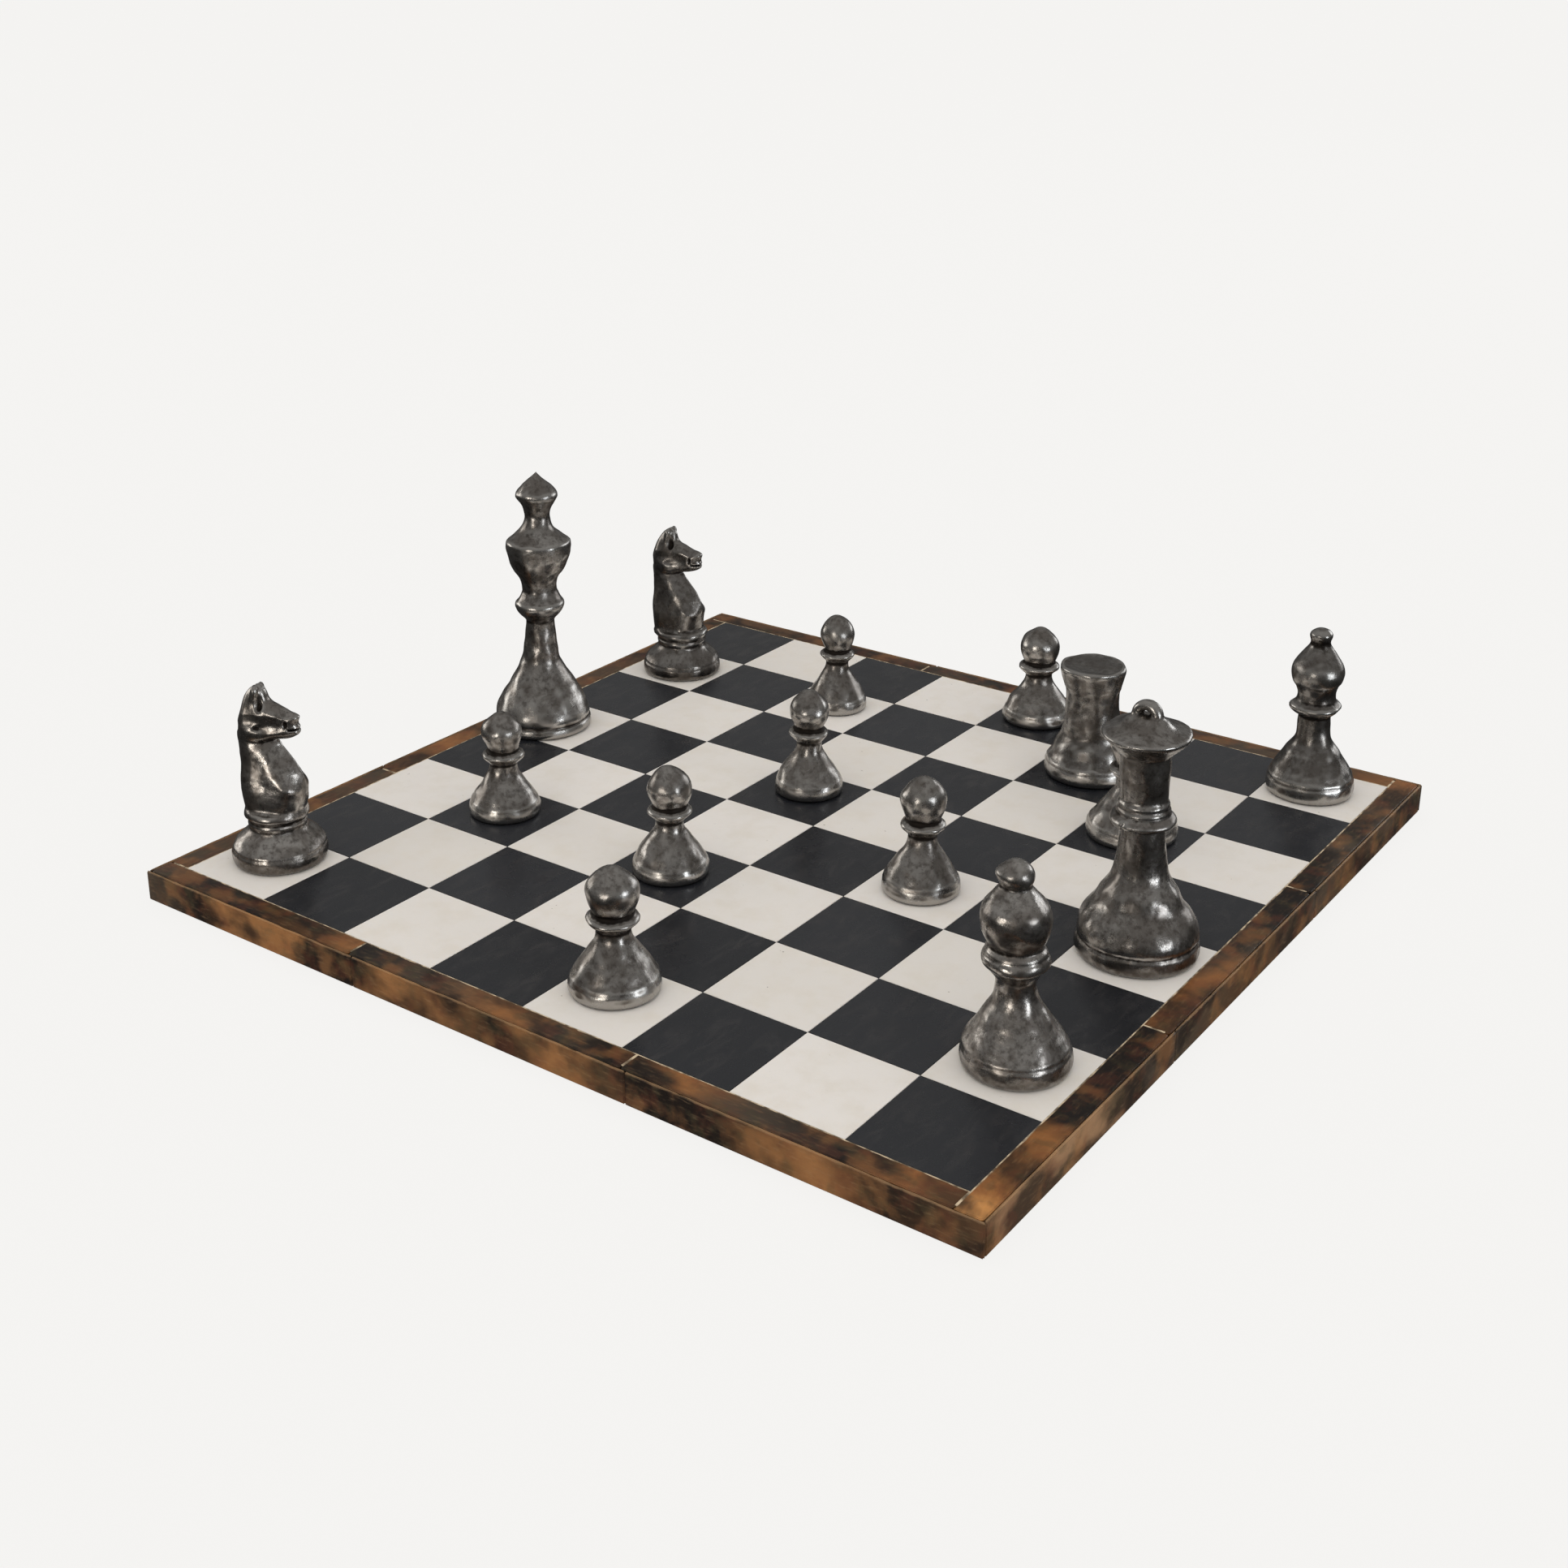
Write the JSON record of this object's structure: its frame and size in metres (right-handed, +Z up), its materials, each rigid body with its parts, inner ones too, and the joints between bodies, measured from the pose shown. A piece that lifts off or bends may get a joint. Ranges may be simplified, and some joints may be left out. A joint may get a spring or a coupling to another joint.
{
  "type": "chess set with board",
  "caption": "Square inlaid chess board of pale and black tiles with a mottled horn border, carrying dark cast metal chessmen that lift off it.",
  "frame": {"origin": "centre of the board's underside, on the surface that it rests on", "axes": "+Z up; +X and +Y along the board's two edges, the knights facing roughly +X"},
  "size_m": [0.3828, 0.3828, 0.1359],
  "materials": {
    "cast_metal": "hand-cast, dark antique nickel finish, buffed to a soft shine, uneven and slightly pitted",
    "bone": "off-white bone, satin polish, faint flecks and a slightly different tone in each tile",
    "black_horn": "near-black polished horn, faint cloudy streaks",
    "mottled_horn": "polished horn, cloudy amber to dark brown patches",
    "board_wood": "plain board, hidden under the inlay",
    "baize": "dark felt backing",
    "felt": "dark felt disc"
  },
  "bodies": {
    "board": {"baize": "baize", "board_core": "board_wood", "border_side_back_1": "mottled_horn", "border_side_back_2": "mottled_horn", "border_side_back_3": "mottled_horn", "border_side_front_1": "mottled_horn", "border_side_front_2": "mottled_horn", "border_side_front_3": "mottled_horn", "border_side_left_1": "mottled_horn", "border_side_left_2": "mottled_horn", "border_side_left_3": "mottled_horn", "border_side_right_1": "mottled_horn", "border_side_right_2": "mottled_horn", "border_side_right_3": "mottled_horn", "border_top_back_1": "mottled_horn", "border_top_back_2": "mottled_horn", "border_top_back_3": "mottled_horn", "border_top_front_1": "mottled_horn", "border_top_front_2": "mottled_horn", "border_top_front_3": "mottled_horn", "border_top_left_1": "mottled_horn", "border_top_left_2": "mottled_horn", "border_top_left_3": "mottled_horn", "border_top_right_1": "mottled_horn", "border_top_right_2": "mottled_horn", "border_top_right_3": "mottled_horn", "dark_tiles": "black_horn", "light_tiles": "bone"},
    "knight_left": {"knight_left": "cast_metal", "knight_left_felt": "felt"},
    "king": {"king": "cast_metal", "king_felt": "felt"},
    "knight_back": {"knight_back": "cast_metal", "knight_back_felt": "felt"},
    "bishop_front": {"bishop_front": "cast_metal", "bishop_front_felt": "felt"},
    "queen": {"queen": "cast_metal", "queen_felt": "felt"},
    "bishop_back": {"bishop_back": "cast_metal", "bishop_back_felt": "felt"},
    "rook": {"rook": "cast_metal", "rook_felt": "felt"},
    "pawn_1": {"pawn_1": "cast_metal", "pawn_1_felt": "felt"},
    "pawn_2": {"pawn_2": "cast_metal", "pawn_2_felt": "felt"},
    "pawn_3": {"pawn_3": "cast_metal", "pawn_3_felt": "felt"},
    "pawn_4": {"pawn_4": "cast_metal", "pawn_4_felt": "felt"},
    "pawn_5": {"pawn_5": "cast_metal", "pawn_5_felt": "felt"},
    "pawn_6": {"pawn_6": "cast_metal", "pawn_6_felt": "felt"},
    "pawn_7": {"pawn_7": "cast_metal", "pawn_7_felt": "felt"},
    "pawn_8": {"pawn_8": "cast_metal", "pawn_8_felt": "felt"}
  },
  "joints": [
    {"name": "lift_knight_left", "type": "slide", "parent": "board", "child": "knight_left", "axis": [0, 0, 1], "range_m": [0, 0.16]},
    {"name": "lift_king", "type": "slide", "parent": "board", "child": "king", "axis": [0, 0, 1], "range_m": [0, 0.16]},
    {"name": "lift_knight_back", "type": "slide", "parent": "board", "child": "knight_back", "axis": [0, 0, 1], "range_m": [0, 0.16]},
    {"name": "lift_bishop_front", "type": "slide", "parent": "board", "child": "bishop_front", "axis": [0, 0, 1], "range_m": [0, 0.16]},
    {"name": "lift_queen", "type": "slide", "parent": "board", "child": "queen", "axis": [0, 0, 1], "range_m": [0, 0.16]},
    {"name": "lift_bishop_back", "type": "slide", "parent": "board", "child": "bishop_back", "axis": [0, 0, 1], "range_m": [0, 0.16]},
    {"name": "lift_rook", "type": "slide", "parent": "board", "child": "rook", "axis": [0, 0, 1], "range_m": [0, 0.16]},
    {"name": "lift_pawn_1", "type": "slide", "parent": "board", "child": "pawn_1", "axis": [0, 0, 1], "range_m": [0, 0.16]},
    {"name": "lift_pawn_2", "type": "slide", "parent": "board", "child": "pawn_2", "axis": [0, 0, 1], "range_m": [0, 0.16]},
    {"name": "lift_pawn_3", "type": "slide", "parent": "board", "child": "pawn_3", "axis": [0, 0, 1], "range_m": [0, 0.16]},
    {"name": "lift_pawn_4", "type": "slide", "parent": "board", "child": "pawn_4", "axis": [0, 0, 1], "range_m": [0, 0.16]},
    {"name": "lift_pawn_5", "type": "slide", "parent": "board", "child": "pawn_5", "axis": [0, 0, 1], "range_m": [0, 0.16]},
    {"name": "lift_pawn_6", "type": "slide", "parent": "board", "child": "pawn_6", "axis": [0, 0, 1], "range_m": [0, 0.16]},
    {"name": "lift_pawn_7", "type": "slide", "parent": "board", "child": "pawn_7", "axis": [0, 0, 1], "range_m": [0, 0.16]},
    {"name": "lift_pawn_8", "type": "slide", "parent": "board", "child": "pawn_8", "axis": [0, 0, 1], "range_m": [0, 0.16]}
  ]
}
